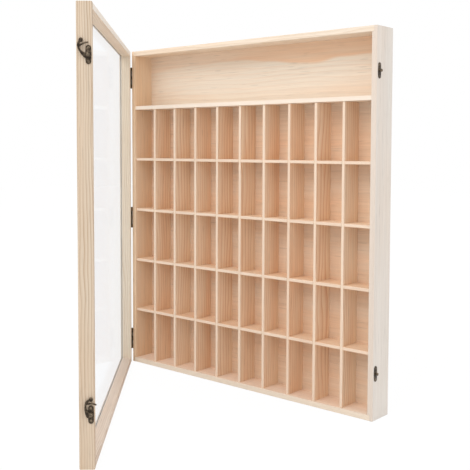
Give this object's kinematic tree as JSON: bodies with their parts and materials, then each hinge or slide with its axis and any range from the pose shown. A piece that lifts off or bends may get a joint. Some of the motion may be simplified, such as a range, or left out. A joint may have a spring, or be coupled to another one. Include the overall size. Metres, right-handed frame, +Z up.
{
  "type": "figurine display case",
  "caption": "Shallow wooden wall case with a grid of small compartments under an open top shelf, behind a hinged, framed and glazed door held shut by hook latches.",
  "frame": {"origin": "centre of the case's back face, which lies on the wall", "axes": "+Z up, +X towards the latches at the right, the front faces -Y"},
  "size_m": [0.5606, 0.4595, 0.6],
  "materials": {
    "pine": "sanded, unfinished",
    "thin_pine": "sanded, unfinished",
    "panel": "sanded, unfinished",
    "pane": "clear",
    "bronze": "antique bronze"
  },
  "bodies": {
    "case": {"case_left_side": "pine", "case_right_side": "pine", "case_top": "pine", "case_bottom": "pine", "back_panel": "panel", "display_shelf": "pine", "grid_shelf_1": "thin_pine", "grid_shelf_2": "thin_pine", "grid_shelf_3": "thin_pine", "grid_shelf_4": "thin_pine", "divider_1": "thin_pine", "divider_2": "thin_pine", "divider_3": "thin_pine", "divider_4": "thin_pine", "divider_5": "thin_pine", "divider_6": "thin_pine", "divider_7": "thin_pine", "divider_8": "thin_pine", "divider_9": "thin_pine", "hinge_case_leaf_top": "bronze", "hinge_case_leaf_middle": "bronze", "hinge_case_leaf_bottom": "bronze", "hinge_pin_top": "bronze", "hinge_pin_middle": "bronze", "hinge_pin_bottom": "bronze", "hinge_case_screws": "bronze", "keeper_plate_upper": "bronze", "keeper_plate_lower": "bronze", "keeper_peg_upper": "bronze", "keeper_peg_lower": "bronze", "keeper_screws": "bronze"},
    "door": {"door_hinge_stile": "pine", "door_latch_stile": "pine", "door_top_rail": "pine", "door_bottom_rail": "pine", "door_pane": "pane", "hinge_door_leaf_top": "bronze", "hinge_door_leaf_middle": "bronze", "hinge_door_leaf_bottom": "bronze", "hinge_door_screws": "bronze", "latch_plate_upper": "bronze", "latch_plate_lower": "bronze", "latch_rivet_upper": "bronze", "latch_rivet_lower": "bronze", "latch_screws": "bronze"},
    "hook_upper": {"hook_upper": "bronze"},
    "hook_lower": {"hook_lower": "bronze"}
  },
  "joints": [
    {"name": "door_swing", "type": "hinge", "parent": "case", "child": "door", "pos_m": [-0.2727, -0.0473, 0], "axis": [0, 0, -1], "range_deg": [-47, 133]},
    {"name": "hook_upper_turn", "type": "hinge", "parent": "door", "child": "hook_upper", "pos_m": [0.09398, -0.44741, 0.233], "axis": [0.682, -0.7314, 0], "range_deg": [-117, 63]},
    {"name": "hook_lower_turn", "type": "hinge", "parent": "door", "child": "hook_lower", "pos_m": [0.09398, -0.44741, -0.227], "axis": [0.682, -0.7314, 0], "range_deg": [-89, 91]}
  ]
}
